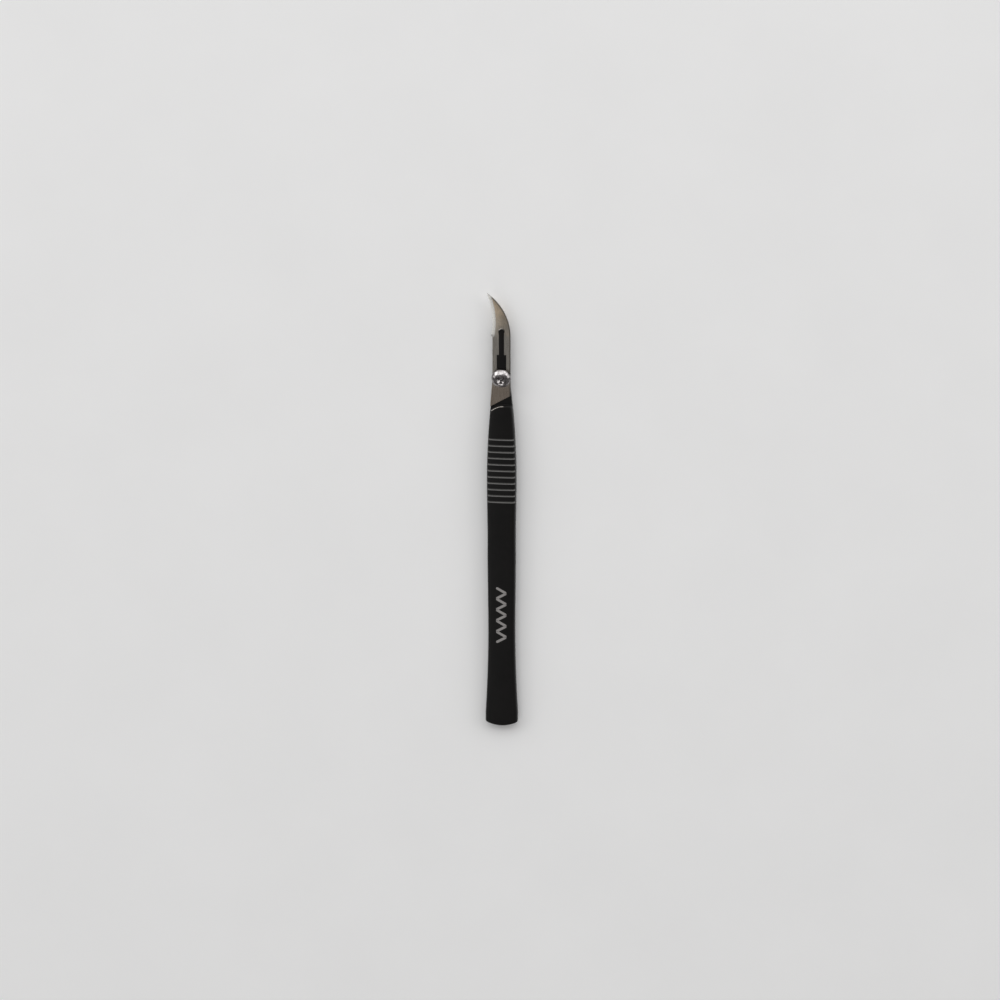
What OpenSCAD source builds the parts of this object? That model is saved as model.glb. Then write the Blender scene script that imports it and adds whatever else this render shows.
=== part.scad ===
// Seam ripper with a hooked blade that a cross-recess screw clamps to a flat forged handle.
// It lies on its back: +Y runs from the tail to the blade's tip, and +Z out of the face.
// The origin is at the centre of the overall box, on the back face.
// Each module draws in tail coordinates, with y = 0 at the tail, and placed() moves it there.

/* [Overall] */
// Length from the tail to the blade's tip
overall_length = 152.4; // [150:0.2:158]

/* [Handle] */
// Width of the flared tail
tail_width = 10.7; // [10:0.1:11.4]
// Width of the waist, behind the middle
waist_width = 8.9; // [8.4:0.1:9.4]
// Width across the grip
grip_width = 9.7; // [9.4:0.1:10.4]
// Width of the nose where it carries the screw
nose_width = 5.6; // [5.4:0.1:6]
// Thickness of the tail
tail_thickness = 3; // [2.8:0.1:3.4]
// Thickness at the grip
grip_thickness = 3.9; // [3.7:0.1:4.4]
// Radius of the tail's end, seen from the front
tail_end_radius = 11.4; // [9:0.2:14]
// Chamfer of the tail's end
tail_chamfer = 0.4; // [0.3:0.1:0.8]
// Drop of the crowned front face from its middle to its sides
crown = 0.2; // [0.1:0.05:0.4]
// Radius of the long edges at the front
front_edge_radius = 1.1; // [0.8:0.1:1.3]
// Radius of the long edges at the back
back_edge_radius = 0.8; // [0.5:0.1:1]

/* [Grip] */
// Number of grooves across the grip
groove_count = 11; // [7:1:12]
// Distance from one groove to the next
groove_pitch = 2.2; // [1.8:0.1:2.4]
// Depth of a groove
groove_depth = 0.3; // [0.2:0.02:0.4]

/* [Nose and tongue] */
// Height of the nose's seat, which the blade lies on
seat_height = 2.3; // [2:0.1:2.5]
// Width of the bar that carries the blade in front of the nose
bar_width = 4.4; // [4:0.1:4.8]
// Width of the tongue's cap, which shows in the blade's slot
cap_width = 1.7; // [1.5:0.05:1.9]
// Width of the neck under the cap, which runs in the narrow slot
neck_width = 1.1; // [0.9:0.05:1.15]
// Thickness of the cap over the blade
cap_thickness = 0.42; // [0.35:0.01:0.5]
// Length of the boss that fills the wide slot
boss_length = 4.6; // [4:0.1:4.8]

/* [Blade] */
// Thickness of the blade
blade_thickness = 0.4; // [0.35:0.01:0.45]
// Width of the blade's straight shank
blade_width = 6; // [5.8:0.1:6.2]
// Length of the blade, from its heel to its tip
blade_length = 39.8; // [39.4:0.2:41]
// Radius of the convex back of the hook
spine_radius = 18.3; // [17.8:0.1:19.5]
// Distance that the tip stands out beyond the shank's left side
tip_offset = 2; // [1.7:0.05:2.2]
// Radius of the concave cutting edge
edge_radius = 25; // [24:0.5:28]
// Width of the ground bevel along the cutting edge
bevel_width = 1.05; // [0.8:0.05:1.2]
// Width of the slot where it holds the tongue's neck
narrow_slot_width = 1.3; // [1.25:0.05:1.4]
// Width of the slot where it passes the tongue's cap and the screw
wide_slot_width = 3.1; // [3.05:0.05:3.2]
// Distance that the loosened blade can slide forward before its slot meets the screw
blade_slack = 1; // [0.6:0.1:1.1]

/* [Clamp screw] */
// Diameter of the screw's head
head_diameter = 6.4; // [6:0.1:6.6]
// Height of the screw's head
head_height = 2.2; // [2:0.1:2.6]
// Diameter of the thread, over its crests
thread_diameter = 2.9; // [2.8:0.02:2.96]
// Radial clearance between the thread and its hole
thread_clearance = 0.05; // [0.02:0.01:0.1]
// Size of the cross recess, from wing tip to wing tip
recess_size = 3.3; // [3:0.1:3.6]

/* [Spring washer] */
// Outer diameter of the washer
washer_outer = 5.4; // [5:0.1:5.8]
// Inner diameter of the washer
washer_inner = 3.1; // [3.06:0.02:3.2]
// Thickness of the washer
washer_thickness = 0.5; // [0.4:0.05:0.6]

/* [Hidden] */
// gap between faces that rest on each other
rest_gap = 0.02;
// gap on each side of a sliding fit
slide_gap = 0.08;
// how far a cutter runs past what it cuts
past = 1;
// fineness of round parts
$fn = 96;

// Places along the handle, measured from the tail
nose_end = overall_length - 31.4;
screw_y = overall_length - 29.5;
heel_y = overall_length - blade_length;
slot_front_y = overall_length - 12.6;
slot_step_y = overall_length - 21.6;
slot_rear_y = screw_y - thread_diameter / 2 - slide_gap - blade_slack;
tongue_front_y = slot_front_y + 0.3;
boss_front_y = slot_step_y - slide_gap;
grip_front_y = overall_length - 51;

// Heights of the stack on the nose
blade_z = seat_height + rest_gap;
washer_z = blade_z + blade_thickness + rest_gap;
head_z = washer_z + washer_thickness + rest_gap;
cap_z = blade_z + blade_thickness + rest_gap;
thread_end_z = 0.15;

// Width and thickness of the handle at distances from the tail
WIDTHS = [
    [0, tail_width], [4, tail_width], [10, tail_width - 0.58], [18, waist_width + 0.56],
    [27, waist_width + 0.12], [35, waist_width], [58, waist_width + 0.42], [68, waist_width + 0.38],
    [89, grip_width], [101, grip_width - 0.76], [110, nose_width + 2.15], [114.6, nose_width + 1.1],
    [117.4, nose_width + 0.55], [119.2, nose_width + 0.15], [121, nose_width]
];
THICKNESSES = [
    [0, tail_thickness], [36, tail_thickness + 0.35], [80, grip_thickness],
    [101, grip_thickness], [121, grip_thickness - 0.2]
];
ring_step = 4;
crown_steps = 6;
corner_steps = 3;

// The slope at row i of a table of [distance, value] rows
function slope(table, i) =
    let (a = table[max(i - 1, 0)], b = table[min(i + 1, len(table) - 1)])
        (b[1] - a[1]) / (b[0] - a[0]);

// The value at distance y on the smooth curve through the rows of a table
function smooth(table, y, i = 0) =
    y > table[i + 1][0] && i < len(table) - 2
    ? smooth(table, y, i + 1)
    : let (
        step = table[i + 1][0] - table[i][0],
        t = max(0, min(1, (y - table[i][0]) / step)),
        turn = t * t * (3 - 2 * t)
    )
        table[i][1] + turn * (table[i + 1][1] - table[i][1])
        + step * (t * (1 - t) * (1 - t) * slope(table, i) - t * t * (1 - t) * slope(table, i + 1));

function half_width(y) = min(tail_width, smooth(WIDTHS, y)) / 2;
function thickness(y) = min(grip_thickness, smooth(THICKNESSES, y));

// Points on an arc about [x, z]
function arc(x, z, r, from, to, steps) =
    [for (i = [0:steps]) let (a = from + (to - from) * i / steps) [x + r * cos(a), z + r * sin(a)]];

// The handle's outline across its length at y: flat at the back and crowned at the front
function section(y) =
    let (
        a = half_width(y),
        h = thickness(y),
        flat = a - front_edge_radius,
        side = h - crown * pow(flat / a, 2)
    )
    concat(
        arc(a - back_edge_radius, back_edge_radius, back_edge_radius, -90, 0, corner_steps),
        arc(flat, side - front_edge_radius, front_edge_radius, 0, 90, corner_steps),
        [for (i = [1:crown_steps - 1]) let (x = flat * (1 - 2 * i / crown_steps))
            [x, h - crown * pow(x / a, 2)]],
        arc(-flat, side - front_edge_radius, front_edge_radius, 90, 180, corner_steps),
        arc(-a + back_edge_radius, back_edge_radius, back_edge_radius, 180, 270, corner_steps)
    );

module placed() {
    translate([0, -overall_length / 2, 0])
        children();
}

// The handle's forged bar from the tail to the nose, as one skin over its sections
module bar() {
    stations = [for (y = [-past:ring_step:nose_end]) y];
    sections = [for (y = stations) section(y)];
    n = len(sections[0]);
    last = (len(stations) - 1) * n;
    points = [for (i = [0:len(stations) - 1]) for (p = sections[i]) [p[0], stations[i], p[1]]];
    sides = [
        for (i = [0:len(stations) - 2]) for (j = [0:n - 1])
            let (a = i * n + j, b = i * n + (j + 1) % n)
                each [[a, b + n, a + n], [a, b, b + n]]
    ];
    caps = [[for (j = [n - 1:-1:0]) j], [for (j = [0:n - 1]) last + j]];
    polyhedron(points, concat(sides, caps));
}

// What the rounded and chamfered tail end leaves off the bar
module tail_trim() {
    inner = tail_end_radius - tail_chamfer;
    intersection() {
        translate([0, tail_end_radius, 0])
            rotate_extrude()
                polygon([
                    [inner, -past], [inner, 0], [tail_end_radius, tail_chamfer],
                    [tail_end_radius, tail_thickness - tail_chamfer], [inner, tail_thickness],
                    [inner, grip_thickness + past], [2 * tail_width, grip_thickness + past],
                    [2 * tail_width, -past]
                ]);
        translate([-tail_width, -2 * past, -2 * past])
            cube([2 * tail_width, 2 * past + tail_end_radius / 2, grip_thickness + 4 * past]);
    }
}

// The space over the nose's seat, in front of the slanting shoulder
module seat_space() {
    translate([0, 0, seat_height])
        linear_extrude(grip_thickness)
            polygon([
                [-nose_width, heel_y - 3], [-3.3, heel_y - 1.15], [-1.7, heel_y],
                [0.3, heel_y + 0.5], [nose_width, heel_y + 0.5],
                [nose_width, nose_end + past], [-nose_width, nose_end + past]
            ]);
}

// The flat nose around the screw, and the bar in front of it that the blade lies on
module nose() {
    front = screw_y + 4.6;
    tip = tongue_front_y - bar_width / 4;
    difference() {
        linear_extrude(seat_height)
            union() {
                polygon([
                    [-nose_width / 2, nose_end - ring_step], [nose_width / 2, nose_end - ring_step],
                    [nose_width / 2 - 0.1, screw_y + 2.4], [bar_width / 2, front],
                    [bar_width / 4, tip], [-bar_width / 4, tip],
                    [-bar_width / 2, front], [-nose_width / 2 + 0.1, screw_y + 2.4]
                ]);
                translate([0, tip])
                    circle(bar_width / 4);
            }
        translate([-nose_width, screw_y + 3.2, 0])
            rotate([4.5, 0, 0])
                translate([0, 0, -4 * past])
                    cube([2 * nose_width, 30, 4 * past]);
    }
}

// The boss, neck and cap that stand up through the blade's slot
module tongue() {
    root = seat_height - 0.5;
    height = cap_z + cap_thickness - root;
    boss_width = wide_slot_width - 2 * slide_gap;
    translate([0, 0, root])
        linear_extrude(height)
            translate([-boss_width / 2, boss_front_y - boss_length])
                square([boss_width, boss_length]);
    translate([0, 0, root])
        linear_extrude(height)
            rod_plan(neck_width, boss_front_y - neck_width, slot_front_y - slide_gap);
    translate([0, 0, cap_z])
        linear_extrude(cap_thickness)
            union() {
                rod_plan(cap_width, boss_front_y - cap_width, tongue_front_y);
                translate([0, tongue_front_y - cap_width * 0.6])
                    circle(cap_width * 0.6);
            }
}

// A strip of width w from y = from to y = to, with a round front end
module rod_plan(w, from, to) {
    translate([-w / 2, from])
        square([w, to - w / 2 - from]);
    translate([0, to - w / 2])
        circle(w / 2);
}

// V-grooves across the front and the back of the grip
module grip_grooves() {
    for (i = [0:groove_count - 1]) {
        y = grip_front_y - i * groove_pitch;
        front_z = thickness(y) - groove_depth;
        for (z = [front_z, groove_depth])
            translate([0, y, z])
                rotate([z > groove_depth ? 45 : 225, 0, 0])
                    translate([-grip_width, 0, 0])
                        cube([2 * grip_width, 2 * past, 2 * past]);
    }
}

module screw_hole() {
    translate([0, screw_y, -past])
        cylinder(h = seat_height + 2 * past, r = thread_diameter / 2 + thread_clearance);
}

module handle() {
    color("#1c1b1a")
        placed()
            difference() {
                union() {
                    difference() {
                        bar();
                        tail_trim();
                        seat_space();
                        grip_grooves();
                    }
                    nose();
                    tongue();
                }
                screw_hole();
            }
}

// The hook lies inside the circle of its back and outside the circle of its edge
tip_x = -blade_width / 2 - tip_offset;
spine_x = blade_width / 2 - spine_radius;
spine_y = overall_length - sqrt(pow(spine_radius, 2) - pow(tip_x - spine_x, 2));
edge_end_x = -blade_width / 2 - 0.45;
edge_end_y = overall_length - 15;
edge_chord = norm([tip_x - edge_end_x, overall_length - edge_end_y]);
edge_middle_to_centre = sqrt(pow(edge_radius, 2) - pow(edge_chord / 2, 2));
edge_x = (tip_x + edge_end_x) / 2
    - edge_middle_to_centre * (overall_length - edge_end_y) / edge_chord;
edge_y = (overall_length + edge_end_y) / 2
    - edge_middle_to_centre * (edge_end_x - tip_x) / edge_chord;

module hook_plan() {
    difference() {
        intersection() {
            translate([spine_x, spine_y])
                circle(spine_radius, $fn = 180);
            translate([tip_x - past, spine_y])
                square([2 * blade_width, overall_length - spine_y + past]);
        }
        translate([edge_x, edge_y])
            circle(edge_radius, $fn = 180);
        polygon([
            [-blade_width / 2, spine_y - past], [-blade_width / 2, edge_end_y - 0.35],
            [edge_end_x, edge_end_y], [tip_x - 2 * past, edge_end_y],
            [tip_x - 2 * past, spine_y - past]
        ]);
    }
}

// The straight shank, with its heel cut at a slant and flared on the left
module shank_plan() {
    side = blade_width / 2;
    polygon([
        [-side, spine_y], [-side, screw_y], [-side - 0.73, heel_y], [side, heel_y + 3.9],
        [side, spine_y], [side - past, spine_y + past / 2], [-side + past, spine_y + past / 2]
    ]);
}

// The keyhole slot, wide at the screw and narrow along the tongue
module slot_plan() {
    rod_plan(narrow_slot_width, slot_step_y - wide_slot_width / 2, slot_front_y);
    translate([-wide_slot_width / 2, slot_rear_y + wide_slot_width / 2])
        square([wide_slot_width, slot_step_y - slot_rear_y - wide_slot_width / 2]);
    translate([0, slot_rear_y + wide_slot_width / 2])
        circle(wide_slot_width / 2);
}

// What the grinding wheel takes off one side of the cutting edge
module bevel_ring() {
    land = 0.03;
    rise = (blade_thickness / 2 - land) / bevel_width;
    outer = edge_radius + bevel_width + past;
    top = blade_thickness / 2 + rise * past;
    translate([edge_x, edge_y, 0])
        rotate_extrude($fn = 180)
            polygon([[edge_radius - past, land - rise * past], [outer, top], [edge_radius - past, top]]);
}

// The bevel stops just short of the step at the end of the cutting edge
module bevel_reach() {
    translate([tip_x - past, edge_end_y + 0.15, -past])
        cube([2 * blade_width, overall_length, blade_thickness + 4 * past]);
}

module blade() {
    color("#8d877c")
        placed()
            translate([0, 0, blade_z + blade_thickness / 2])
                difference() {
                    translate([0, 0, -blade_thickness / 2])
                        linear_extrude(blade_thickness)
                            difference() {
                                union() {
                                    hook_plan();
                                    shank_plan();
                                }
                                slot_plan();
                            }
                    for (flip = [0, 1])
                        mirror([0, 0, flip])
                            intersection() {
                                bevel_ring();
                                bevel_reach();
                            }
                }
}

// A split spring washer, pressed flat under the head
module spring_washer() {
    slit = 0.25;
    color("#6f6e6c")
        placed()
            translate([0, screw_y, washer_z])
                difference() {
                    cylinder(h = washer_thickness, d = washer_outer);
                    translate([0, 0, -past])
                        cylinder(h = washer_thickness + 2 * past, d = washer_inner);
                    rotate([0, 0, 205])
                        translate([0, -slit / 2, -past])
                            cube([washer_outer, slit, washer_thickness + 2 * past]);
                }
}

// A cross recess that tapers to its floor
module cross_recess() {
    depth = 1.2;
    wing = 0.9;
    floor_share = 0.25;
    for (a = [45, 135])
        rotate([0, 0, a])
            hull() {
                translate([-recess_size / 2, -wing / 2, 0])
                    cube([recess_size, wing, past]);
                translate([-recess_size * floor_share / 2, -wing / 3, -depth])
                    cube([recess_size * floor_share, wing * 2 / 3, 0.1]);
            }
}

// A head with a thin rim and a high dome, on a threaded shank
module clamp_screw() {
    r = head_diameter / 2;
    rim = head_height * 0.28;
    rise = head_height - rim;
    dome = (r * r + rise * rise) / (2 * rise);
    color("#d5d6d8")
        placed()
            translate([0, screw_y, head_z])
                union() {
                    difference() {
                        rotate_extrude()
                            union() {
                                square([r, rim]);
                                intersection() {
                                    translate([0, head_height - dome])
                                        circle(dome);
                                    translate([0, rim])
                                        square([r, rise]);
                                }
                            }
                        translate([0, 0, head_height])
                            cross_recess();
                    }
                    translate([0, 0, thread_end_z + 0.4 - head_z])
                        cylinder(h = head_z - thread_end_z, d = thread_diameter);
                    translate([0, 0, thread_end_z - head_z])
                        cylinder(h = 0.4, d1 = thread_diameter - 0.8, d2 = thread_diameter);
                }
}

handle();
blade();
spring_washer();
clamp_screw();
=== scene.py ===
from math import asin, atan2, ceil, cos, hypot, pi, radians, sin, sqrt, tan

import bmesh
import bpy
from mathutils import Matrix, Vector
from mathutils.geometry import delaunay_2d_cdt


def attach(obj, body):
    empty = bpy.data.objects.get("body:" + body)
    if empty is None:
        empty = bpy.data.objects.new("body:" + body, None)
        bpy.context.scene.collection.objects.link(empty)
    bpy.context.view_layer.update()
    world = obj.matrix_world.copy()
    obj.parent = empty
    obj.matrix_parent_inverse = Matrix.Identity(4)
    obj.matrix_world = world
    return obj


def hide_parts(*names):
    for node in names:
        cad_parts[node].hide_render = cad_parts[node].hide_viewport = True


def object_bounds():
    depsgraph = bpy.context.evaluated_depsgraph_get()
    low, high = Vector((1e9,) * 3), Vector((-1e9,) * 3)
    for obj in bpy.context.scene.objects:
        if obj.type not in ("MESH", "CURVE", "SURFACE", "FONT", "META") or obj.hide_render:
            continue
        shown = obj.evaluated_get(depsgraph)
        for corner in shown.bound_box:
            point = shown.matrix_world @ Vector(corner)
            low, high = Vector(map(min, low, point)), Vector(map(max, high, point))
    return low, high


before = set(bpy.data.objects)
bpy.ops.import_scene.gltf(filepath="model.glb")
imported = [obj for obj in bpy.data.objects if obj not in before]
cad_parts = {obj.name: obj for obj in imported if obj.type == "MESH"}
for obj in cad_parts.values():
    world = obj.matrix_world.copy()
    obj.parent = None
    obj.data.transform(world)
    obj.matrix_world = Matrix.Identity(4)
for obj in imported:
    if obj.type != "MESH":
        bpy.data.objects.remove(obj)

# The seam ripper lies on its back: +Y runs to the blade's tip and +Z out of the front face.
# Shapes are worked out in millimetres, with y = 0 at the tail, and point() moves them to the frame.
CAD_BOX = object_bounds()
MM = 0.001
LENGTH = 152.4

# Handle
TAIL_WIDTH = 10.7
WAIST_WIDTH = 8.9
GRIP_WIDTH = 9.7
NOSE_WIDTH = 5.6
TAIL_THICKNESS = 3.0
GRIP_THICKNESS = 3.9
TAIL_END_RADIUS = 11.4
TAIL_REACH = 7
TAIL_ROUNDING = 0.4
CROWN = 0.2
FRONT_EDGE = 1.1
BACK_EDGE = 0.8
SEAT = 2.3
SHOULDER_Y = 112.4

# Grip
GROOVES = 11
GROOVE_PITCH = 2.2
GROOVE_DEPTH = 0.3
GRIP_FRONT = LENGTH - 51

# Nose, bar and tongue
SCREW_Y = LENGTH - 29.5
NOSE_END = LENGTH - 31.4
BAR_WIDTH = 4.4
BAR_RISE = radians(4.5)
BOSS_LENGTH = 4.6
CAP_THICKNESS = 0.42
SLOT_FRONT = LENGTH - 12.6
SLOT_STEP = LENGTH - 21.6
TONGUE_FRONT = SLOT_FRONT + 0.3
BAR_TIP = TONGUE_FRONT - BAR_WIDTH / 4

# Blade
BLADE_LENGTH = 39.8
BLADE_WIDTH = 6.0
BLADE_THICKNESS = 0.4
REST_GAP = 0.02
SLIDE_GAP = 0.08
BLADE_Z = SEAT + REST_GAP + BLADE_THICKNESS / 2
HEEL = LENGTH - BLADE_LENGTH
HEEL_RISE = 3.9
HEEL_FLARE = 0.73
SPINE_RADIUS = 18.3
EDGE_RADIUS = 25.0
BEVEL = 1.05
NARROW_SLOT = 1.3
WIDE_SLOT = 3.1
BLADE_SLACK = 1.0
TIP_OFFSET = 2
TIP_X = -BLADE_WIDTH / 2 - TIP_OFFSET
EDGE_END = (-BLADE_WIDTH / 2 - 0.45, LENGTH - 15)
SPINE_X = BLADE_WIDTH / 2 - SPINE_RADIUS
SPINE_Y = LENGTH - sqrt(SPINE_RADIUS ** 2 - (TIP_X - SPINE_X) ** 2)

# Screw and washer
ABOVE_BLADE = SEAT + REST_GAP + BLADE_THICKNESS + REST_GAP
WASHER_THICKNESS = 0.5
HEAD_Z = ABOVE_BLADE + WASHER_THICKNESS + REST_GAP
HEAD_RADIUS = 3.2
HEAD_HEIGHT = 2.2
RIM_SHARE = 0.28
RECESS_DEPTH = 1.15
HOLE_RADIUS = 1.5
THREAD_RADIUS = 1.45
THREAD_ROOT = 1.16
THREAD_END = 0.15
PITCH = 0.5

# Sizes of the handle along it, as rows of (y, size) that smooth() joins with a curve
WIDTHS = [
    (0, TAIL_WIDTH), (4, TAIL_WIDTH), (10, TAIL_WIDTH - 0.58), (18, WAIST_WIDTH + 0.56),
    (27, WAIST_WIDTH + 0.12), (35, WAIST_WIDTH), (58, WAIST_WIDTH + 0.42), (68, WAIST_WIDTH + 0.38),
    (89, GRIP_WIDTH), (101, GRIP_WIDTH - 0.76), (110, NOSE_WIDTH + 2.15), (114.6, NOSE_WIDTH + 1.1),
    (117.4, NOSE_WIDTH + 0.55), (119.2, NOSE_WIDTH + 0.15), (121, NOSE_WIDTH),
]
THICKNESSES = [
    (0, TAIL_THICKNESS), (36, TAIL_THICKNESS + 0.35), (80, GRIP_THICKNESS),
    (101, GRIP_THICKNESS), (121, GRIP_THICKNESS - 0.2),
]


def point(x, y, z):
    """A point in the row frame, in metres."""
    return Vector((x, y - LENGTH / 2, z)) * MM


def spread(start, end, count):
    """count + 1 values evenly from start to end."""
    return [start + (end - start) * i / count for i in range(count + 1)]


def ease(t):
    t = max(0.0, min(1.0, t))
    return t * t * (3 - 2 * t)


def smooth(table, y):
    """The value at y on the smooth curve through the rows of a table, as part.scad draws it."""
    last = len(table) - 1
    i = 0
    while y > table[i + 1][0] and i < last - 1:
        i += 1

    def slope(k):
        a, b = table[max(k - 1, 0)], table[min(k + 1, last)]
        return (b[1] - a[1]) / (b[0] - a[0])

    step = table[i + 1][0] - table[i][0]
    t = max(0.0, min(1.0, (y - table[i][0]) / step))
    line = table[i][1] + ease(t) * (table[i + 1][1] - table[i][1])
    return line + step * (t * (1 - t) ** 2 * slope(i) - t * t * (1 - t) * slope(i + 1))


# ---- Pieces ----

def finish_piece(name, bm, body, materials, sharp=32, node=None):
    """Makes a piece of a mesh, with its edges sharper than the given angle kept crisp."""
    bmesh.ops.recalc_face_normals(bm, faces=bm.faces)
    for face in bm.faces:
        face.smooth = True
    for edge in bm.edges:
        if len(edge.link_faces) == 2:
            edge.smooth = edge.calc_face_angle() < radians(sharp)
    mesh = bpy.data.meshes.new(name)
    bm.to_mesh(mesh)
    bm.free()
    piece = bpy.data.objects.new(name, mesh)
    bpy.context.scene.collection.objects.link(piece)
    for material in materials:
        mesh.materials.append(material)
    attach(piece, body)
    if node:
        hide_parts(node)
    return piece


def add_skin(bm, rings, caps=True):
    """Joins closed rings of points, all with the same count, into one skin."""
    loops = [[bm.verts.new(p) for p in ring] for ring in rings]
    count = len(loops[0])
    for a, b in zip(loops, loops[1:]):
        for i in range(count):
            j = (i + 1) % count
            bm.faces.new((a[i], a[j], b[j], b[i]))
    if caps:
        bm.faces.new(loops[0])
        bm.faces.new(loops[-1])
    return loops


def inset_outline(outline, distance):
    """A closed outline moved inwards. The outline runs anticlockwise."""
    moved = []
    for i, (x, y) in enumerate(outline):
        (ax, ay), (bx, by) = outline[i - 1], outline[(i + 1) % len(outline)]
        first = Vector((x - ax, y - ay)).normalized()
        second = Vector((bx - x, by - y)).normalized()
        normal = Vector((-first.y - second.y, first.x + second.x)).normalized()
        share = max(0.5, normal.dot(Vector((-second.y, second.x))))
        moved.append((x + normal.x * distance / share, y + normal.y * distance / share))
    return moved


def add_plate(bm, outline, low, high, rounding, steps=4):
    """A flat plate of the given outline whose top edge is rounded."""
    rings = [[point(x, y, low) for x, y in outline]]
    for a in spread(0, pi / 2, steps):
        inner = inset_outline(outline, rounding * (1 - cos(a)))
        z = high - rounding * (1 - sin(a))
        rings.append([point(x, y, z) for x, y in inner])
    add_skin(bm, rings)


def on_axis(radius, angle, z):
    """A point at a radius and an angle about the screw's axis."""
    return point(radius * cos(angle), SCREW_Y + radius * sin(angle), z)


def add_turned(bm, profile, steps):
    """A closed body turned about the screw's axis from (radius, z) rows, which start and end on it."""
    first = bm.verts.new(on_axis(0, 0, profile[0][1]))
    last = bm.verts.new(on_axis(0, 0, profile[-1][1]))
    columns = []
    for i in range(steps):
        angle = 2 * pi * i / steps
        columns.append([bm.verts.new(on_axis(r, angle, z)) for r, z in profile[1:-1]])
    for i in range(steps):
        a, b = columns[i], columns[(i + 1) % steps]
        bm.faces.new((first, b[0], a[0]))
        for k in range(len(a) - 1):
            bm.faces.new((a[k], b[k], b[k + 1], a[k + 1]))
        bm.faces.new((last, a[-1], b[-1]))


def cut(piece, cutter_bm):
    """Cuts a mesh out of a piece, and applies the cut."""
    mesh = bpy.data.meshes.new("cutter")
    bmesh.ops.recalc_face_normals(cutter_bm, faces=cutter_bm.faces)
    cutter_bm.to_mesh(mesh)
    cutter_bm.free()
    cutter = bpy.data.objects.new("cutter", mesh)
    bpy.context.scene.collection.objects.link(cutter)
    modifier = piece.modifiers.new("cut", "BOOLEAN")
    modifier.operation = "DIFFERENCE"
    modifier.solver = "EXACT"
    modifier.object = cutter
    bpy.context.view_layer.update()
    depsgraph = bpy.context.evaluated_depsgraph_get()
    result = bpy.data.meshes.new_from_object(piece.evaluated_get(depsgraph))
    piece.modifiers.clear()
    old = piece.data
    piece.data = result
    bpy.data.meshes.remove(old)
    bpy.data.objects.remove(cutter)
    bpy.data.meshes.remove(mesh)


# ---- Materials ----

class Shader:
    """A node material, with short calls for the nodes that the finishes share."""

    def __init__(self, name, **sockets):
        self.material = bpy.data.materials.new(name)
        self.material.use_nodes = True
        self.nodes = self.material.node_tree.nodes
        self.links = self.material.node_tree.links
        self.principled = self.nodes["Principled BSDF"]
        self.coords = self.nodes.new("ShaderNodeTexCoord").outputs["Object"]
        for socket, value in sockets.items():
            self.principled.inputs[socket.replace("_", " ")].default_value = value

    def link(self, output, socket):
        self.links.new(output, self.principled.inputs[socket])

    def noise(self, size_mm, detail=3.0, roughness=0.55):
        """Noise whose features are size_mm across, as one number or as (x, y, z)."""
        sizes = size_mm if isinstance(size_mm, tuple) else (size_mm,) * 3
        mapping = self.nodes.new("ShaderNodeMapping")
        mapping.inputs["Scale"].default_value = [1 / (s * MM) for s in sizes]
        self.links.new(self.coords, mapping.inputs["Vector"])
        texture = self.nodes.new("ShaderNodeTexNoise")
        texture.inputs["Scale"].default_value = 1.0
        texture.inputs["Detail"].default_value = detail
        texture.inputs["Roughness"].default_value = roughness
        self.links.new(mapping.outputs["Vector"], texture.inputs["Vector"])
        return texture.outputs["Fac"]

    def ramp(self, value, *stops):
        """Colours or greys at places along a value."""
        node = self.nodes.new("ShaderNodeValToRGB")
        elements = node.color_ramp.elements
        while len(elements) < len(stops):
            elements.new(0.5)
        for element, (place, colour) in zip(elements, stops):
            element.position = place
            grey = (colour,) * 3 if isinstance(colour, (int, float)) else colour
            element.color = (*grey, 1.0)
        self.links.new(value, node.inputs["Fac"])
        return node.outputs["Color"]

    def math(self, operation, *values):
        node = self.nodes.new("ShaderNodeMath")
        node.operation = operation
        for socket, value in zip(node.inputs, values):
            if isinstance(value, (int, float)):
                socket.default_value = value
            else:
                self.links.new(value, socket)
        return node.outputs["Value"]

    def mix(self, share, first, second):
        node = self.nodes.new("ShaderNodeMix")
        node.data_type = "RGBA"
        for name, value in (("Factor", share), ("A", first), ("B", second)):
            kind = "VALUE" if name == "Factor" else "RGBA"
            socket = next(s for s in node.inputs if s.name == name and s.type == kind)
            if isinstance(value, (int, float)):
                socket.default_value = value
            elif isinstance(value, tuple):
                socket.default_value = (*value, 1.0)
            else:
                self.links.new(value, socket)
        return next(s for s in node.outputs if s.name == "Result" and s.type == "RGBA")

    def along(self, axis):
        """The place along X, Y or Z, in millimetres from the frame's origin."""
        node = self.nodes.new("ShaderNodeSeparateXYZ")
        self.links.new(self.coords, node.inputs["Vector"])
        return self.math("DIVIDE", node.outputs[axis], MM)

    def bump(self, *layers):
        """Bumps, each given as (height, strength, depth in millimetres)."""
        before = None
        for height, strength, depth in layers:
            node = self.nodes.new("ShaderNodeBump")
            node.inputs["Strength"].default_value = strength
            node.inputs["Distance"].default_value = depth * MM
            self.links.new(height, node.inputs["Height"])
            if before:
                self.links.new(before, node.inputs["Normal"])
            before = node.outputs["Normal"]
        self.link(before, "Normal")


def black_coat():
    """A thin semi-gloss black coating over forged and tumbled steel."""
    s = Shader("black_coat", IOR=1.36)
    cloud = s.noise(6.0)
    fine = s.noise(0.35, detail=2.0)
    s.link(s.ramp(cloud, (0.3, (0.0022, 0.0019, 0.0018)), (0.7, (0.0042, 0.0036, 0.0034))), "Base Color")
    s.link(s.ramp(s.noise(1.6, detail=5.0), (0.25, 0.3), (0.75, 0.42)), "Roughness")
    s.bump((s.noise(4.5, detail=2.0), 0.5, 0.02), (fine, 0.3, 0.005))
    return s.material


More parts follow.
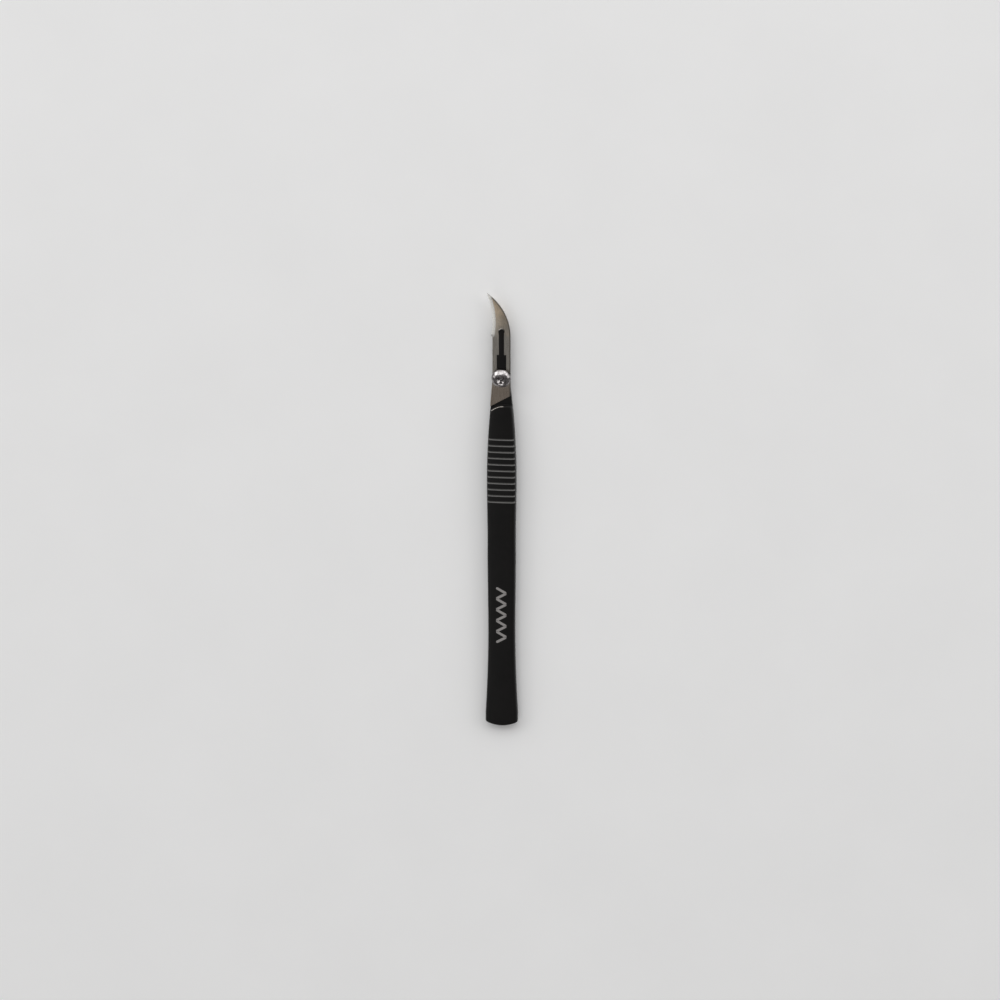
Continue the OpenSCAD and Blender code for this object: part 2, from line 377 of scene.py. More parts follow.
def groove_highlight_finish():
    """The cut grooves, where the coating is thin and worn to the steel; their lighter grey is also a
    painted highlight for the groove walls that face the light.
    """
    s = Shader("groove_highlight_finish", IOR=1.45)
    grain = s.noise((0.5, 0.06, 0.5), detail=3.0)
    s.link(s.ramp(grain, (0.3, (0.075, 0.073, 0.071)), (0.7, (0.135, 0.131, 0.128))), "Base Color")
    s.link(s.ramp(s.noise(0.3), (0.3, 0.45), (0.7, 0.6)), "Roughness")
    s.bump((grain, 0.4, 0.004))
    return s.material


def worn_steel():
    """Bare steel where handling has worn the coating off an edge."""
    s = Shader("worn_steel", Metallic=1.0)
    patch = s.noise(0.45, detail=4.0, roughness=0.7)
    s.link(s.ramp(patch, (0.33, (0.03, 0.028, 0.026)), (0.5, (0.38, 0.355, 0.33))), "Base Color")
    s.link(s.ramp(patch, (0.3, 0.42), (0.7, 0.3)), "Roughness")
    s.bump((patch, 0.3, 0.004))
    return s.material


def ground_steel():
    """The blade's flat faces, ground along it: lighter and browner towards the hook, stained heel, and
    painted shade in a darker border by the spine.
    """
    s = Shader("ground_steel", Metallic=1.0, Anisotropic=0.4)
    lines = s.noise((0.05, 5.0, 0.4), detail=5.0, roughness=0.65)
    cloud = s.noise(3.0, detail=4.0)
    bare = s.ramp(lines, (0.3, (0.4, 0.375, 0.335)), (0.7, (0.56, 0.53, 0.48)))
    stained = s.ramp(lines, (0.3, (0.33, 0.275, 0.23)), (0.7, (0.44, 0.375, 0.315)))
    stain_fade, stain_end = 6, HEEL - LENGTH / 2 + 11
    behind = s.math("MULTIPLY_ADD", s.along("Y"), -1 / stain_fade, stain_end / stain_fade)
    plain = s.mix(s.ramp(behind, (0.2, 0.0), (0.8, 1.0)), bare, stained)
    # The faces turn lighter and browner towards the hook.
    hook_tint = s.ramp(cloud, (0.3, (0.54, 0.44, 0.325)), (0.7, (0.78, 0.64, 0.48)))
    hook_fade, hook_start = 9, 61
    hook = s.math("MULTIPLY_ADD", s.along("Y"), 1 / hook_fade, -(hook_start / hook_fade))
    reach = s.math("ADD", hook, s.math("MULTIPLY_ADD", cloud, 0.8, -0.4))
    colour = s.mix(s.ramp(reach, (0.0, 0.0), (0.9, 1.0)), plain, hook_tint)
    # Painted shade: a darker, uneven border 0.6 mm wide along the spine's outline.
    side = s.math("SUBTRACT", s.along("X"), SPINE_X)
    ahead = s.math("MAXIMUM", s.math("SUBTRACT", s.along("Y"), SPINE_Y - LENGTH / 2), 0.0)
    from_centre = s.math("SQRT", s.math("ADD", s.math("POWER", side, 2.0), s.math("POWER", ahead, 2.0)))
    border_width, unevenness = 0.6, 0.15
    from_border = s.math("SUBTRACT", from_centre, SPINE_RADIUS - border_width)
    border = s.math("ADD", from_border, s.math("MULTIPLY", cloud, unevenness))
    spine_shade = s.ramp(border, (0.15, 0.0), (0.55, 1.0))
    s.link(s.mix(spine_shade, colour, (0.17, 0.155, 0.14)), "Base Color")
    s.link(s.ramp(s.noise((0.08, 3.0, 0.4)), (0.3, 0.24), (0.7, 0.34)), "Roughness")
    s.bump((lines, 0.3, 0.003))
    return s.material


def honed_steel():
    """The blade's bevel: bright, with fine lines from the wheel."""
    s = Shader("honed_steel", Metallic=1.0)
    lines = s.noise((1.2, 0.05, 0.4), detail=4.0, roughness=0.7)
    s.link(s.ramp(lines, (0.3, (0.66, 0.65, 0.62)), (0.7, (0.8, 0.79, 0.75))), "Base Color")
    s.link(s.ramp(lines, (0.3, 0.2), (0.7, 0.32)), "Roughness")
    s.bump((lines, 0.25, 0.002))
    return s.material


def bright_chrome():
    """Bright plating that has gone dark in patches."""
    s = Shader("bright_chrome", Metallic=1.0)
    cloud = s.noise(1.1, detail=4.0, roughness=0.6)
    dark, middle, bright = (0.12, 0.109, 0.107), (0.26, 0.244, 0.244), (0.5, 0.48, 0.48)
    s.link(s.ramp(cloud, (0.34, dark), (0.5, middle), (0.68, bright)), "Base Color")
    s.link(s.ramp(s.noise(0.4, detail=4.0), (0.3, 0.1), (0.7, 0.22)), "Roughness")
    s.bump((s.noise(0.6, detail=3.0), 0.35, 0.012))
    return s.material


def spring_steel():
    """The washer's drawn wire, with lines around it."""
    s = Shader("spring_steel", Metallic=1.0)
    lines = s.noise((0.3, 0.3, 0.04), detail=4.0)
    s.link(s.ramp(lines, (0.3, (0.2, 0.195, 0.19)), (0.7, (0.34, 0.33, 0.32))), "Base Color")
    s.link(s.ramp(s.noise(0.5), (0.3, 0.32), (0.7, 0.5)), "Roughness")
    s.bump((lines, 0.3, 0.004))
    return s.material


def etched_grey():
    """The etched mark, a little uneven where the coating was burnt off."""
    s = Shader("etched_grey", IOR=1.45)
    speckle = s.noise(0.16, detail=4.0)
    s.link(s.ramp(speckle, (0.3, (0.22, 0.208, 0.202)), (0.7, (0.34, 0.326, 0.32))), "Base Color")
    s.link(s.ramp(s.noise(0.3), (0.3, 0.55), (0.7, 0.7)), "Roughness")
    s.bump((speckle, 0.4, 0.004))
    return s.material


def paper_floor():
    """White paper with a faint tooth."""
    s = Shader("paper_floor", Roughness=0.85)
    cloud = s.noise(40.0)
    s.link(s.ramp(cloud, (0.3, 0.92), (0.7, 0.94)), "Base Color")
    s.bump((s.noise(1.2, detail=5.0), 0.08, 0.05))
    return s.material


# ---- Handle ----

def half_width(y):
    """Half the handle's width, on to the nose and the bar under the blade."""
    if y < NOSE_END - 1:
        return min(TAIL_WIDTH, smooth(WIDTHS, y)) / 2
    if y > BAR_TIP:
        return sqrt(max(0.0, (BAR_WIDTH / 4) ** 2 - (y - BAR_TIP) ** 2))
    return smooth([
        (NOSE_END - 1, NOSE_WIDTH / 2 + 0.03), (NOSE_END + 1.5, NOSE_WIDTH / 2),
        (SCREW_Y + 2.2, NOSE_WIDTH / 2 - 0.1), (SCREW_Y + 3.4, 2.42), (SCREW_Y + 4.6, BAR_WIDTH / 2),
        (SCREW_Y + 6.2, BAR_WIDTH / 2 - 0.13), (BAR_TIP, BAR_WIDTH / 4),
    ], y)


def thickness(y):
    return min(GRIP_THICKNESS, smooth(THICKNESSES, y))


def underside(y):
    """Height of the back face, which bends up under the bar over the first millimetre."""
    past = max(0.0, y - SCREW_Y - 2.7)
    return tan(BAR_RISE) * (past if past > 1 else past * past * (1 - past / 2) + past * past / 2)


def groove(y):
    """Depth of the grip's V-grooves at y."""
    nearest = min(abs(y - (GRIP_FRONT - i * GROOVE_PITCH)) for i in range(GROOVES))
    return max(0.0, GROOVE_DEPTH - nearest)


def shift(x, y):
    """How far a point of the ring at y lies from it: the tail end is round and the shoulder slants."""
    tail = (TAIL_END_RADIUS - sqrt(TAIL_END_RADIUS ** 2 - x * x)) * (1 - ease(y / TAIL_REACH))
    lean = ease((y - 104.5) / 6) * (1 - ease((y - 113.2) / 5))
    reach = min(x, 0.5)
    return tail + lean * (0.69 + 0.114 * reach - 0.116 * reach * reach)


def handle_ring(y, raised, inset=0.0, drop=0.0):
    """One ring of the handle's skin. A raised ring is behind the shoulder, and others are on the seat."""
    front = min(FRONT_EDGE, half_width(y) * 0.6) if raised else 0.12
    back = BACK_EDGE if raised else min(0.6, half_width(y) * 0.5)
    crown = CROWN if raised else 0.0
    wide, tall = half_width(y) - inset * 0.3, (thickness(y) if raised else SEAT) - inset - drop
    low = underside(y) + inset
    front = max(front - inset, 0.05)
    back = max(back - inset, 0.05)
    flat = wide - front
    side_top = tall - crown * (flat / wide) ** 2
    cut_depth = groove(y) if raised else 0.0

    right = [(wide - back + back * cos(a), low + back + back * sin(a)) for a in spread(-pi / 2, 0, 6)]
    for a in spread(0, pi / 2, 10):
        z = side_top - front + front * sin(a) - cut_depth * ease(sin(a) * 1.7 - 0.2)
        right.append((flat + front * cos(a), z))
    middle = []
    for i in range(1, 28):
        x = flat * (1 - 2 * i / 28)
        middle.append((x, tall - crown * (x / wide) ** 2 - cut_depth))
    left = [(-x, z) for x, z in reversed(right)]
    base = [((wide - back) * (2 * i / 16 - 1), low + cut_depth) for i in range(1, 16)]

    ring = []
    for x, z in right + middle + left + base:
        place = y + shift(x, y)
        width = half_width(place) / half_width(y) if TAIL_REACH < y < NOSE_END - 4 else 1.0
        ring.append(point(x * width, place, z))
    return ring


def close_tail(bm, loop):
    """Closes the round tail end with upright strips between its lower and upper edges."""
    middle = sum(vert.co.z for vert in loop) / len(loop)
    lower = sorted((vert for vert in loop if vert.co.z < middle), key=lambda vert: vert.co.x)
    upper = sorted((vert for vert in loop if vert.co.z >= middle), key=lambda vert: vert.co.x)
    while len(lower) > 1 or len(upper) > 1:
        chain, other = (lower, upper) if len(upper) == 1 else (upper, lower)
        if len(lower) > 1 and len(upper) > 1 and lower[1].co.x < upper[1].co.x:
            chain, other = lower, upper
        bm.faces.new((chain[0], chain[1], other[0]))
        chain.pop(0)


def build_handle():
    """The forged bar with its grooves, its worn shoulder and the hole for the screw."""
    bm = bmesh.new()
    rings = []
    for a in spread(0, pi / 2, 6):
        back_off, inset = TAIL_ROUNDING * (1 - sin(a)), TAIL_ROUNDING * (1 - sin(pi / 2 - a))
        rings.append(handle_ring(back_off, True, inset))
    rings.sort(key=lambda ring: ring[0].y)
    grip_back = GRIP_FRONT - (GROOVES - 1) * GROOVE_PITCH
    stations = spread(TAIL_ROUNDING + 0.7, grip_back - 1.2, 58)
    for i in reversed(range(GROOVES)):
        middle = GRIP_FRONT - i * GROOVE_PITCH
        stations += [middle + d for d in (-0.55, -0.36, -0.3, -0.2, -0.1, -0.03)]
        stations += [middle + d for d in (0.03, 0.1, 0.2, 0.3, 0.36, 0.55)]
    stations += spread(GRIP_FRONT + 1.2, SHOULDER_Y - 0.5, 16)
    rings += [handle_ring(y, True) for y in stations]
    shoulder, rounding, fillet = len(rings), 0.25, 0.15
    for a in spread(0, pi / 2, 5):
        y = SHOULDER_Y - rounding * (1 - sin(a))
        rings.append(handle_ring(y, True, drop=rounding * (1 - cos(a))))
    for a in spread(0, pi / 2, 4):
        y = SHOULDER_Y + 0.01 + fillet * (1 - cos(a))
        rings.append(handle_ring(y, False, drop=-fillet * (1 - sin(a))))
    rings += [handle_ring(y, False) for y in spread(SHOULDER_Y + 0.5, BAR_TIP, 52)]
    for a in spread(0, radians(78), 7)[1:]:
        rings.append(handle_ring(BAR_TIP + BAR_WIDTH / 4 * sin(a), False))
    loops = add_skin(bm, rings, caps=False)
    close_tail(bm, loops[0])
    bm.faces.new(loops[-1])

    worn = {vert for loop in loops[shoulder:shoulder + 5] for vert in loop}
    for face in bm.faces:
        middle = face.calc_center_median() / MM
        y = middle.y + LENGTH / 2
        # Faces in the grooves get the lighter grey, partly a painted highlight for the lit groove walls.
        if len(face.verts) == 4 and groove(y) > 0.04 and abs(middle.x) < half_width(y) - 0.12:
            face.material_index = 1
        if set(face.verts) <= worn and -3.4 < middle.x < 0.9 and middle.z > SEAT:
            face.material_index = 2
    finishes = [COAT, GROOVE_HIGHLIGHT, WORN]
    piece = finish_piece("handle_body", bm, "handle", finishes, sharp=28, node="handle")

    hole = bmesh.new()
    add_turned(hole, [
        (0, -1), (2.3, -1), (1.78, -0.02), (HOLE_RADIUS, 0.26), (HOLE_RADIUS, SEAT - 0.12),
        (1.62, SEAT + 0.001), (2.2, SEAT + 0.6), (0, SEAT + 0.6),
    ], 64)
    cut(piece, hole)
    return piece


def build_tongue():
    """The boss, neck and cap that stand up through the blade's slot."""
    bm = bmesh.new()
    boss, cap, neck, blob = 1.47, 0.85, 0.55, 1.02
    step = SLOT_STEP - SLIDE_GAP
    rear = step - BOSS_LENGTH
    side = asin(cap / blob)
    head = [(boss, rear), (boss, step - 0.15), (boss - 0.15, step), (cap, step)]
    head += [(cap, y) for y in spread(step + 0.5, TONGUE_FRONT - blob - blob * cos(side), 8)]
    for a in spread(side, 2 * pi - side, 28)[1:-1]:
        head.append((blob * sin(a), TONGUE_FRONT - blob - blob * cos(a)))
    head += [(-x, y) for x, y in reversed(head[:12])]
    add_plate(bm, head, ABOVE_BLADE, ABOVE_BLADE + CAP_THICKNESS, 0.12)

    slope, base = 0.6, ABOVE_BLADE * MM
    for vert in bm.verts:
        ahead = vert.co.y / MM + LENGTH / 2 - (TONGUE_FRONT - slope)
        if ahead > 0:
            vert.co.z = base + (vert.co.z - base) * (1 - 0.85 * min(1, ahead / slope))

    low, high = SEAT - 0.4, ABOVE_BLADE + 0.2
    pillar = [(boss, rear), (boss, step), (-boss, step), (-boss, rear)]
    add_plate(bm, pillar, low, high, 0.01, 1)
    front = SLOT_FRONT - SLIDE_GAP - neck
    rod = [(neck, step - 1), (neck, front)]
    rod += [(neck * cos(a), front + neck * sin(a)) for a in spread(0, pi, 12)[1:-1]]
    rod += [(-neck, front), (-neck, step - 1)]
    add_plate(bm, rod, low, high, 0.01, 1)
    for face in bm.faces:
        middle = face.calc_center_median() / MM
        sloping = middle.y + LENGTH / 2 > TONGUE_FRONT - slope
        if sloping and middle.z > ABOVE_BLADE + 0.02 and middle.x < 0.35:
            face.material_index = 2
    return finish_piece("handle_tongue", bm, "handle", [COAT, COAT, WORN], sharp=30)


def build_mark():
    """A generic zig-zag stitch where a maker would print a name."""
    bm = bmesh.new()
    start, end, swing, stitches = 29.6, 49.0, 1.7, 10
    half, proud, end_gap = 0.42, 0.012, 0.02
    step = (end - start) / stitches
    for i in range(stitches):
        a = Vector((swing if i % 2 else -swing, start + i * step))
        b = Vector((-swing if i % 2 else swing, start + (i + 1) * step))
        length = (b - a).length - 2 * end_gap
        along = (b - a).normalized()
        across = Vector((-along.y, along.x))
        places = [half * (1 - cos(t)) for t in spread(0.2, pi / 2, 6)]
        places += spread(half, length - half, 12)[1:-1]
        places += [length - place for place in reversed(places[:7])]
        rows = []
        for place in places:
            from_end = min(place, length - place, half)
            wide = sqrt(half ** 2 - (half - from_end) ** 2)
            ring = []
            section = [(-1, -0.05)] + [(reach, proud) for reach in (-1, -0.5, 0, 0.5, 1)] + [(1, -0.05)]
            for reach, lift in section:
                p = a + along * (end_gap + place) + across * wide * reach
                ring.append(point(p.x, p.y, thickness(p.y) - CROWN * (p.x / half_width(p.y)) ** 2 + lift))
            rows.append(ring)
        add_skin(bm, rows)
    return finish_piece("handle_stitch_mark", bm, "handle", [MARK], sharp=40)


# ---- Blade ----

def edge_centre():
    """Centre of the concave edge's circle, which passes through the tip and the edge's other end."""
    dx, dy = TIP_X - EDGE_END[0], LENGTH - EDGE_END[1]
    chord = hypot(dx, dy)
    reach = sqrt(EDGE_RADIUS ** 2 - chord * chord / 4)
    return (TIP_X + EDGE_END[0]) / 2 - reach * dy / chord, (LENGTH + EDGE_END[1]) / 2 + reach * dx / chord


def arc_points(cx, cy, radius, first, last, count):
    """Points on a circle from the angle of point first to that of point last."""
    a, b = atan2(first[1] - cy, first[0] - cx), atan2(last[1] - cy, last[0] - cx)
    return [(cx + radius * cos(t), cy + radius * sin(t)) for t in spread(a, b, count)]


def blade_outline():
    """The blade's outline anticlockwise from the heel's right corner, and its edge's two ends."""
    side = BLADE_WIDTH / 2
    right = [(side, y) for y in spread(HEEL + HEEL_RISE, SPINE_Y, 16)]
    spine = arc_points(SPINE_X, SPINE_Y, SPINE_RADIUS, (side, SPINE_Y), (TIP_X, LENGTH), 40)[1:-1]
    edge = arc_points(*edge_centre(), EDGE_RADIUS, (TIP_X, LENGTH), EDGE_END, 40)
    left = [(-side, y) for y in spread(EDGE_END[1] - 0.35, SCREW_Y, 10)]
    flare = [
        (-side - HEEL_FLARE * ease(t) * 0.35 - HEEL_FLARE * t * 0.65, SCREW_Y + (HEEL - SCREW_Y) * t)
        for t in spread(0, 1, 8)[1:]
    ]
    heel = [
        (-side - HEEL_FLARE + (BLADE_WIDTH + HEEL_FLARE) * t, HEEL + HEEL_RISE * t)
        for t in spread(0, 1, 8)[1:-1]
    ]
    outline = right + spine + edge + left + flare + heel
    begin = len(right) + len(spine)
    return outline, begin, begin + len(edge)


def slot_outline():
    """The keyhole slot, clockwise, so that moving it inwards widens it."""
    narrow, wide = NARROW_SLOT / 2, WIDE_SLOT / 2
    rear = SCREW_Y - THREAD_RADIUS - SLIDE_GAP - BLADE_SLACK
    front = SLOT_FRONT - narrow
    points = [(narrow * cos(a), front + narrow * sin(a)) for a in spread(0, pi, 14)]
    points += [(-narrow, y) for y in spread(front - 1, SLOT_STEP + 0.1, 5)]
    points += [(-narrow - 0.1, SLOT_STEP), (-wide + 0.1, SLOT_STEP), (-wide, SLOT_STEP - 0.1)]
    points += [(-wide, y) for y in spread(SLOT_STEP - 1, rear + wide + 0.5, 5)]
    points += [(wide * cos(a), rear + wide + wide * sin(a)) for a in spread(pi, 2 * pi, 20)]
    points += [(wide, y) for y in spread(rear + wide + 0.5, SLOT_STEP - 1, 5)]
    points += [(wide, SLOT_STEP - 0.1), (wide - 0.1, SLOT_STEP), (narrow + 0.1, SLOT_STEP)]
    points += [(narrow, y) for y in spread(SLOT_STEP + 0.1, front - 1, 5)]
    return list(reversed(points))


def inside(x, y, outline):
    """Whether a point is inside a closed outline."""
    hit = False
    for (ax, ay), (bx, by) in zip(outline, outline[1:] + outline[:1]):
        if (ay > y) != (by > y) and x < (bx - ax) * (y - ay) / (by - ay) + ax:
            hit = not hit
    return hit


def build_blade():
    """A thin strip with broken edges, ground from both faces along the concave edge."""
    outline, begin, end = blade_outline()
    slot = slot_outline()
    break_edge, half, land = 0.05, BLADE_THICKNESS / 2, 0.012
    cx, cy = edge_centre()

    def depth(x, y):
        """Half the blade's thickness at a point of its face."""
        from_edge = hypot(x - cx, y - cy) - EDGE_RADIUS
        ground = y > EDGE_END[1] - 0.05 and x < 0.5
        return min(half, land + (half - land) * max(0.0, from_edge) / BEVEL) if ground else half

    inner = inset_outline(outline, break_edge)
    inner[begin:end] = outline[begin:end]
    slot_inner = inset_outline(slot, break_edge)
    bevel = []
    for x, y in outline[begin + 1:end - 1]:
        d = hypot(x - cx, y - cy)
        reach = (EDGE_RADIUS + BEVEL) / d
        bx, by = cx + (x - cx) * reach, cy + (y - cy) * reach
        if hypot(bx - SPINE_X, by - SPINE_Y) < SPINE_RADIUS - break_edge * 1.5:
            bevel.append((bx, by))
    bevel.append((EDGE_END[0] + BEVEL * 0.98, EDGE_END[1] - 0.3))

    flat = [Vector(p) for p in inner + slot_inner + bevel]
    n, m = len(inner), len(slot_inner)
    edges = [(i, (i + 1) % n) for i in range(n)]
    edges += [(n + i, n + (i + 1) % m) for i in range(m)]
    edges += [(n + m + i, n + m + i + 1) for i in range(len(bevel) - 1)]
    verts, _, faces, origin, _, _ = delaunay_2d_cdt(flat, edges, [], 2, 1e-6)

    bm = bmesh.new()
    sides = {}
    for sign in (1, -1):
        sides[sign] = [bm.verts.new(point(v.x, v.y, BLADE_Z + sign * depth(v.x, v.y))) for v in verts]
        for face in faces:
            mx = sum(verts[i].x for i in face) / len(face)
            my = sum(verts[i].y for i in face) / len(face)
            if not inside(mx, my, inner) or inside(mx, my, slot_inner):
                continue
            made = bm.faces.new([sides[sign][i] for i in face])
            near_edge = hypot(mx - cx, my - cy) < EDGE_RADIUS + BEVEL
            made.material_index = 1 if near_edge and my > EDGE_END[1] - 0.3 and mx < 0.5 else 0

    place = {}
    for i, sources in enumerate(origin):
        for source in sources:
            place[source] = i
    for path, rim, offset in ((outline, inner, 0), (slot, slot_inner, n)):
        walls = {}
        for sign in (1, -1):
            walls[sign] = []
            for k, (x, y) in enumerate(path):
                on_edge = offset == 0 and begin <= k < end
                z = land * 0.2 if on_edge else min(half - break_edge, depth(x, y) * 0.75)
                walls[sign].append(bm.verts.new(point(x, y, BLADE_Z + sign * z)))
        count = len(path)
        for k in range(count):
            j = (k + 1) % count
            for sign in (1, -1):
                a, b = sides[sign][place[offset + k]], sides[sign][place[offset + j]]
                bm.faces.new((a, b, walls[sign][j], walls[sign][k]))
            bm.faces.new((walls[1][k], walls[1][j], walls[-1][j], walls[-1][k]))
    bmesh.ops.remove_doubles(bm, verts=bm.verts, dist=0.002 * MM)
    return finish_piece(
        "blade_body", bm, "blade", [STEEL, BEVEL_STEEL], sharp=12, node="blade"
    )


# ---- Screw and washer ----

def build_head():
    """A head with a flat seat, a thin rolled rim, a dome and a cross recess."""
    rim, rise = HEAD_HEIGHT * RIM_SHARE, HEAD_HEIGHT * (1 - RIM_SHARE)
    dome = (HEAD_RADIUS ** 2 + rise ** 2) / (2 * rise)
    under, edge = 0.12, 0.3
    profile = [(0, HEAD_Z), (HEAD_RADIUS - under, HEAD_Z)]
    for a in spread(0, pi / 2, 6)[1:]:
        profile.append((HEAD_RADIUS - under + under * sin(a), HEAD_Z + under - under * cos(a)))
    profile += [(HEAD_RADIUS, HEAD_Z + rim - edge * 0.6)]
    start = asin((HEAD_RADIUS - edge * 0.55) / dome)
    joint = (HEAD_RADIUS - edge * 0.55, HEAD_Z + HEAD_HEIGHT - dome + dome * cos(start))
    corner = (HEAD_RADIUS, HEAD_Z + rim)
    low = profile[-1]
    for t in spread(0, 1, 8)[1:]:
        r = (1 - t) ** 2 * low[0] + 2 * t * (1 - t) * corner[0] + t * t * joint[0]
        z = (1 - t) ** 2 * low[1] + 2 * t * (1 - t) * corner[1] + t * t * joint[1]
        profile.append((r, z))
    for a in spread(start, 0.0, 16)[1:]:
        profile.append((dome * sin(a), HEAD_Z + HEAD_HEIGHT - dome + dome * cos(a)))
    bm = bmesh.new()
    add_turned(bm, profile, 128)
    piece = finish_piece("screw_head", bm, "screw", [CHROME], sharp=40, node="clamp_screw")

    top, floor = HEAD_Z + HEAD_HEIGHT, HEAD_Z + HEAD_HEIGHT - RECESS_DEPTH
    for turn in (pi / 4, 3 * pi / 4):
        cutter = bmesh.new()
        rows = []
        for z, length, wing in (
            (top + 0.3, 2.0, 0.58), (top, 1.68, 0.5), (top - 0.55, 1.05, 0.44),
            (top - 1.0, 0.54, 0.38), (floor, 0.42, 0.34),
        ):
            ring = []
            for a in spread(-pi / 2, pi / 2, 6):
                ring.append((length - wing * 0.35 + wing * 0.35 * cos(a), wing * sin(a)))
            ring += [(-x, -y) for x, y in ring]
            turned = [(x * cos(turn) - y * sin(turn), x * sin(turn) + y * cos(turn)) for x, y in ring]
            rows.append([point(x, SCREW_Y + y, z) for x, y in turned])
        add_skin(cutter, rows)
        cut(piece, cutter)
    hub = bmesh.new()
    add_turned(hub, [
        (0, floor - 0.2), (0.1, floor - 0.16), (0.38, floor + 0.02), (0.66, top - 0.55),
        (0.86, top + 0.3), (0, top + 0.3),
    ], 48)
    cut(piece, hub)
    mark_sharp(piece, 34)
    return piece


def mark_sharp(piece, angle):
    """Keeps the edges crisp after a cut."""
    bm = bmesh.new()
    bm.from_mesh(piece.data)
    bmesh.ops.remove_doubles(bm, verts=bm.verts, dist=0.001 * MM)
    bmesh.ops.dissolve_degenerate(bm, edges=bm.edges, dist=0.0005 * MM)
    for face in bm.faces:
        face.smooth = True
    for edge in bm.edges:
        if len(edge.link_faces) == 2:
            edge.smooth = edge.calc_face_angle() < radians(angle)
    bm.to_mesh(piece.data)
    bm.free()


def build_thread():
    """The screw's shank with its helical thread, 0.5 mm a turn, right-handed."""
    steps, per_turn, end_radius = 48, 12, 1.0
    crest, root = THREAD_RADIUS, THREAD_ROOT
    low, high = THREAD_END, HEAD_Z + 0.1
    count = ceil((high - low) / PITCH * per_turn)
    bm = bmesh.new()
    columns = []
    for i in range(steps):
        a = 2 * pi * i / steps
        column = []
        for k in range(count + 1):
            z = low + (high - low) * k / count
            phase = (z / PITCH - a / (2 * pi)) % 1.0
            tooth = 1 - abs(2 * phase - 1)
            r = root + (crest - root) * max(0.0, min(1.0, (tooth - 0.12) / 0.72))
            lead = end_radius + (crest - end_radius) * min(1.0, (z - low) / 0.4)
            neck = crest - (crest - root) * ease((z - high + 0.9) / 0.4)
            column.append(on_axis(min(r, lead, neck), a, z))
        columns.append([bm.verts.new(p) for p in column])
    for i in range(steps):
        a, b = columns[i], columns[(i + 1) % steps]
        for k in range(count):
            bm.faces.new((a[k], b[k], b[k + 1], a[k + 1]))
    bm.faces.new([column[0] for column in columns])
    bm.faces.new([column[-1] for column in columns])
    return finish_piece("screw_thread", bm, "screw", [CHROME], sharp=50)


def build_washer():
    """A split spring washer of rounded square wire, pressed flat."""
    low, high = ABOVE_BLADE, ABOVE_BLADE + WASHER_THICKNESS
    small, large, corner = 1.57, 2.7, 0.07
    slit, gap = 0.125 / 2.1, radians(205)
    section = []
    for r, z, start in (
        (large - corner, high - corner, 0), (small + corner, high - corner, pi / 2),
        (small + corner, low + corner, pi), (large - corner, low + corner, 3 * pi / 2),
    ):
        section += [(r + corner * cos(a), z + corner * sin(a)) for a in spread(start, start + pi / 2, 3)]
    rings = []
    for a in spread(gap + slit, gap + 2 * pi - slit, 80):
        rings.append([on_axis(r, a, z) for r, z in section])
    bm = bmesh.new()
    add_skin(bm, rings)
    return finish_piece(
        "washer_ring", bm, "washer", [WASHER], sharp=35, node="spring_washer"
    )


COAT = black_coat()
# The grooves' lighter grey is partly a painted highlight.
GROOVE_HIGHLIGHT = groove_highlight_finish()
WORN = worn_steel()
STEEL = ground_steel()
BEVEL_STEEL = honed_steel()
CHROME = bright_chrome()
WASHER = spring_steel()
MARK = etched_grey()

build_handle()
build_tongue()
build_mark()
build_blade()
build_head()
build_thread()
build_washer()


# ---- Floor, light and camera ----

def build_floor():
    """A sheet of paper a hair under the tool."""
    bm = bmesh.new()
    bmesh.ops.create_grid(bm, x_segments=8, y_segments=8, size=2.0)
    mesh = bpy.data.meshes.new("floor")
    bm.to_mesh(mesh)
    bm.free()
    mesh.materials.append(paper_floor())
    floor = bpy.data.objects.new("floor", mesh)
    bpy.context.scene.collection.objects.link(floor)
    floor.location.z = CAD_BOX[0][2] - 0.0002


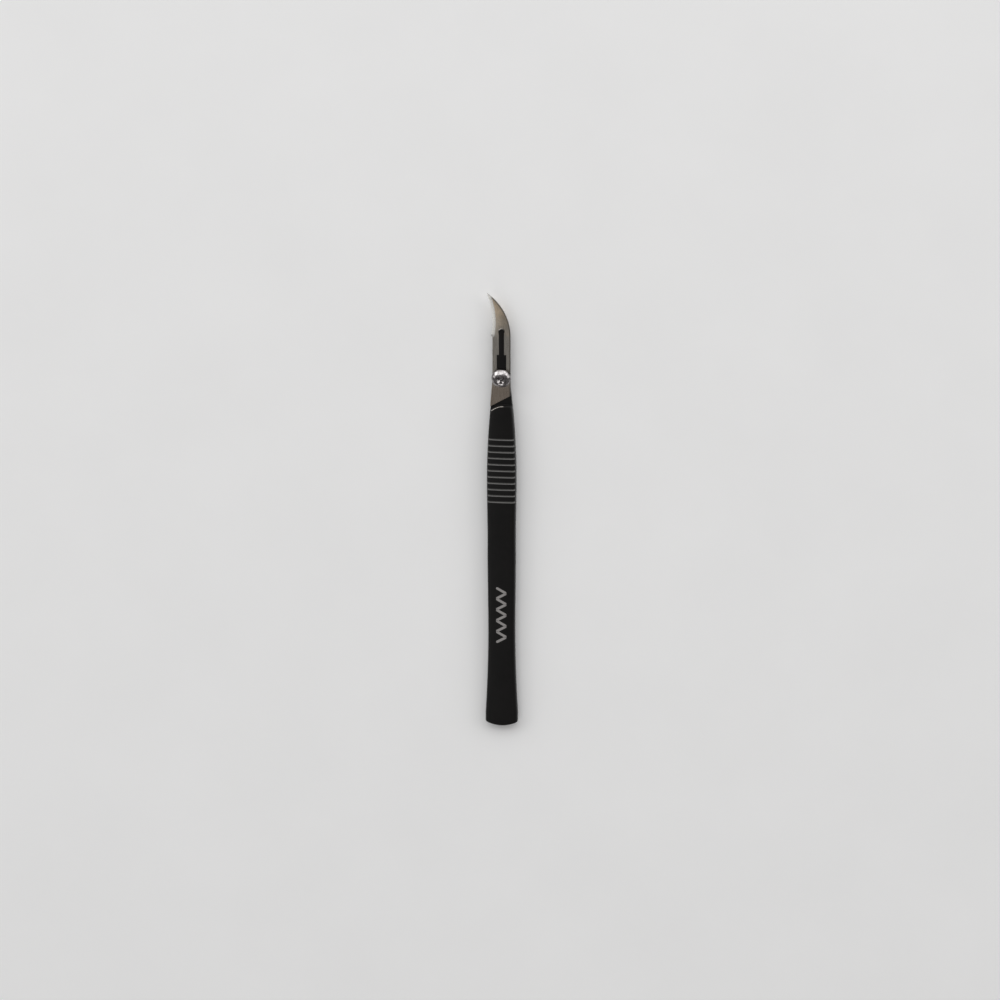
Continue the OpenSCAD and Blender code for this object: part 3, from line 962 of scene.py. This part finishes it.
def look_at(thing, position, target, up):
    """Turns a camera or a light at position so that its -Z axis points at the target."""
    back = (position - target).normalized()
    right = up.cross(back).normalized()
    turn = Matrix((right, back.cross(right), back)).transposed()
    thing.matrix_world = Matrix.Translation(position) @ turn.to_4x4()


def softbox(name, direction, distance, width, height, power):
    """A soft area light in a direction from the origin. The camera doesn't see it, and steel does."""
    light = bpy.data.lights.new(name, "AREA")
    light.shape = "RECTANGLE"
    light.size, light.size_y = width, height
    light.energy = power
    lamp = bpy.data.objects.new(name, light)
    bpy.context.scene.collection.objects.link(lamp)
    lamp.visible_camera = False
    look_at(lamp, Vector(direction).normalized() * distance, Vector((0, 0, 0)), Vector((0, 0, 1)))


def build_light():
    """A dim even sky and softboxes beyond the tip, at the sides and behind the tail."""
    world = bpy.data.worlds.new("studio")
    bpy.context.scene.world = world
    world.use_nodes = True
    background = world.node_tree.nodes["Background"]
    background.inputs["Color"].default_value = (1.0, 0.99, 0.98, 1.0)
    background.inputs["Strength"].default_value = 0.24
    # name, direction, distance, width, height (metres), power (watts)
    softbox("tip_softbox", (0.0, 0.84, 0.54), 2.4, 7.4, 2.2, 90)
    softbox("left_wing", (-0.9, 0.28, 0.34), 2.4, 2.0, 1.0, 11)
    softbox("right_wing", (0.9, 0.28, 0.34), 2.4, 2.0, 1.0, 11)
    softbox("tail_strip", (-0.1, -0.92, 0.37), 2.4, 1.4, 0.6, 4.5)
    softbox("left_strip", (-0.45, -0.35, 0.82), 1.3, 0.26, 0.55, 0.45)


def build_camera():
    """The photograph looks at the front from a little towards the tip and the right."""
    tilt, roll = radians(20.0), radians(6.0)
    towards = Vector((sin(roll) * cos(tilt), sin(tilt), cos(roll) * cos(tilt)))
    up = Vector((-sin(tilt) * sin(roll), cos(tilt), -sin(tilt) * cos(roll)))
    view_width, distance = 0.3315, 8.0
    target = point(-0.5, 79.68, 2.5)
    data = bpy.data.cameras.new("camera")
    data.sensor_width = 36
    data.lens = 36 * distance / view_width
    camera = bpy.data.objects.new("camera", data)
    bpy.context.scene.collection.objects.link(camera)
    look_at(camera, target + towards * distance, target, up)
    bpy.context.scene.camera = camera


build_floor()
build_light()
build_camera()
bpy.context.scene.view_settings.view_transform = "Standard"
